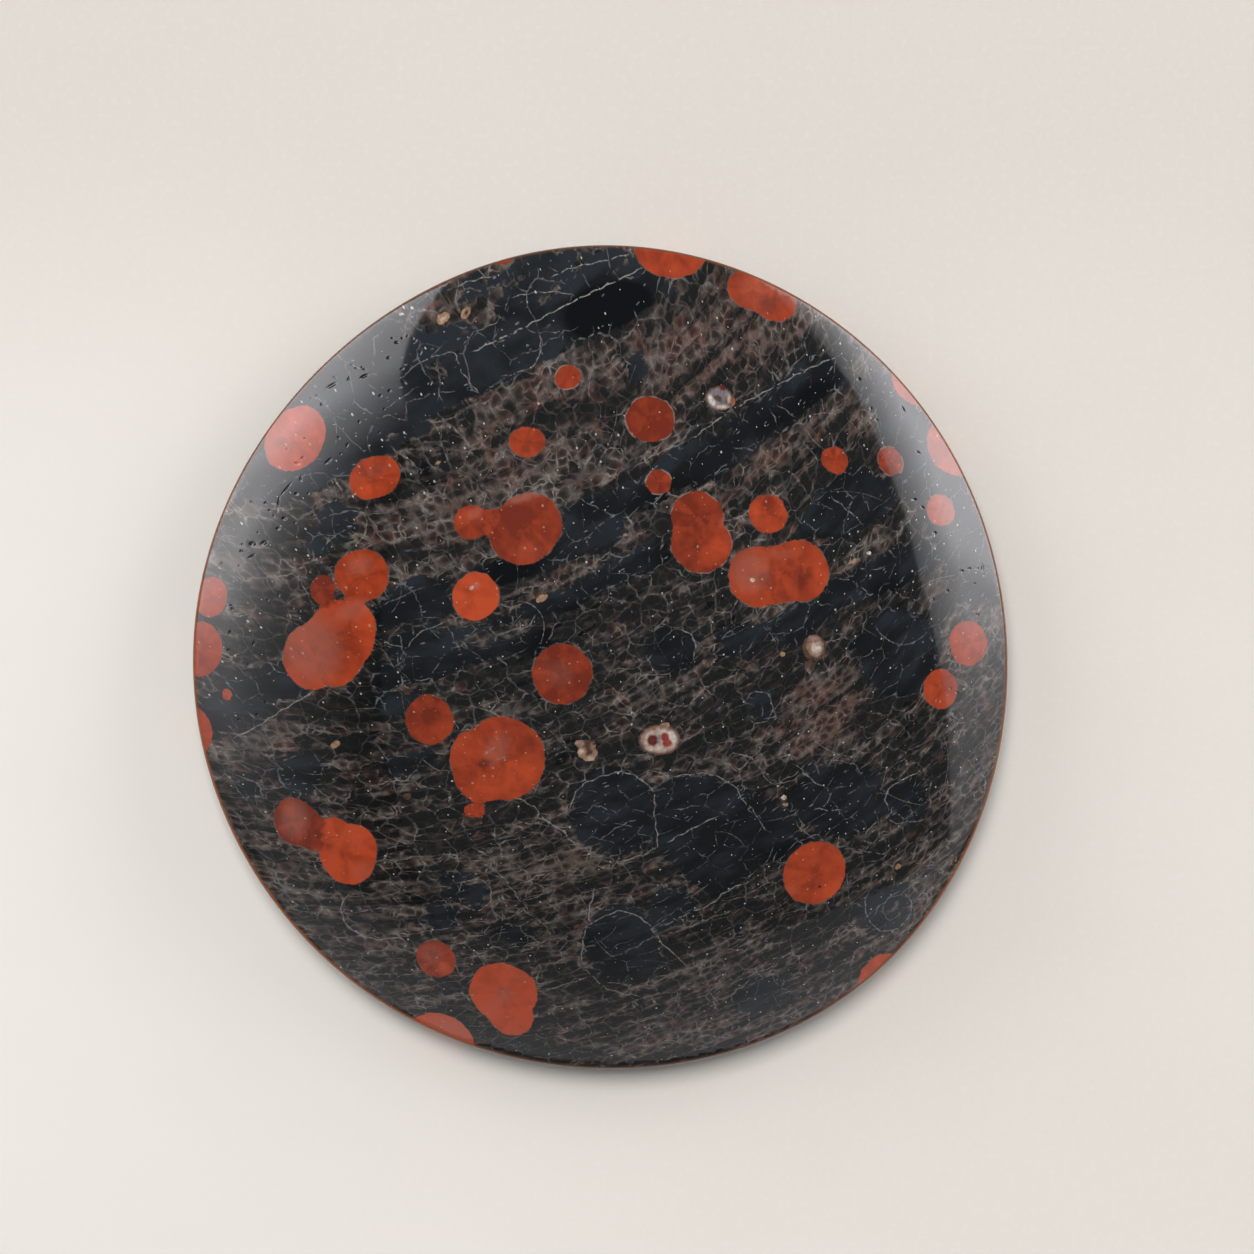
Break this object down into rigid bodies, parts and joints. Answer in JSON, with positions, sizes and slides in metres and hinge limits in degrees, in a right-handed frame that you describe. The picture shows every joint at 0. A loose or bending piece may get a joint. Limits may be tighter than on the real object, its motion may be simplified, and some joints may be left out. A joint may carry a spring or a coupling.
{
  "type": "peanut obsidian cabochon",
  "caption": "Round polished cabochon of dark volcanic glass with rust-red spherulites, a low dome on a thin girdle and a flat back.",
  "frame": {"origin": "centre of the flat back", "axes": "+Z out of the dome, +Y towards the side of the stone that is uppermost when it is shown face on"},
  "size_m": [0.0398, 0.0402, 0.0078],
  "materials": {
    "stone": "polished"
  },
  "bodies": {
    "root": {"cabochon": "stone"}
  },
  "joints": []
}
